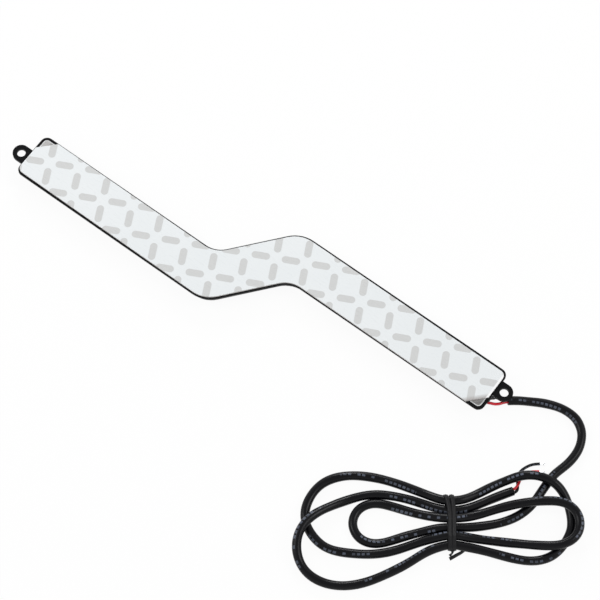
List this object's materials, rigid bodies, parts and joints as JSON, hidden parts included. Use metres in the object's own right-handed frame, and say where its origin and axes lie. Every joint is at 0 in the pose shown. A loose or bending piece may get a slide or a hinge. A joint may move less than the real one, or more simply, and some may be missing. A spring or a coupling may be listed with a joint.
{
  "type": "daytime running light",
  "caption": "Slim bent LED daytime running light lying lens down: black frame with screw ears, clear lens, taped back with printed release liner, and two-core cord tied in a bow-shaped hank",
  "frame": {"origin": "centre of the lamp's bounding box, without its cord, on the surface that its lens lies on; this is midway between the body's two ends", "axes": "+X along the two arms towards the end that the cord leaves, +Z from the lens up to the taped back, +Y towards the arm that the cord leaves"},
  "size_m": [0.3063, 0.1276, 0.0083],
  "materials": {
    "frame_black": "fine satin moulding",
    "lens_clear": "polished clear polycarbonate",
    "silicone_pale": "satin silicone",
    "board_white": "white solder mask",
    "diode_white": "white package with yellow phosphor",
    "chip_black": "moulded",
    "pad_grey": "soft matt",
    "plate_aluminium": "brushed",
    "tape_foam": "foam, cut edge",
    "liner_white": null,
    "solder": "bright",
    "seal_black": "glossy sealant",
    "lead_red": "smooth insulation",
    "cord_black": "smooth satin jacket",
    "tie_black": "smooth"
  },
  "bodies": {
    "root": {"housing": "frame_black", "lens": "lens_clear", "lens_seal": "silicone_pale", "led_board": "board_white", "led_01": "diode_white", "led_02": "diode_white", "led_03": "diode_white", "led_04": "diode_white", "led_05": "diode_white", "led_06": "diode_white", "led_07": "diode_white", "led_08": "diode_white", "led_09": "diode_white", "led_10": "diode_white", "led_11": "diode_white", "led_12": "diode_white", "led_13": "diode_white", "led_14": "diode_white", "led_15": "diode_white", "led_16": "diode_white", "led_17": "diode_white", "led_18": "diode_white", "resistor_1": "chip_black", "resistor_2": "chip_black", "resistor_3": "chip_black", "resistor_4": "chip_black", "resistor_5": "chip_black", "resistor_6": "chip_black", "polarity_diode": "chip_black", "thermal_pad": "pad_grey", "back_plate": "plate_aluminium", "plate_seal": "silicone_pale", "adhesive_tape": "tape_foam", "release_liner": "liner_white", "solder_positive": "solder", "solder_negative": "solder", "wire_seal": "seal_black", "lead_red": "lead_red", "lead_black": "cord_black", "cord_run": "cord_black", "cord_hank": "cord_black", "hank_tie": "tie_black", "tail_red": "lead_red", "tail_black": "cord_black"}
  },
  "joints": []
}
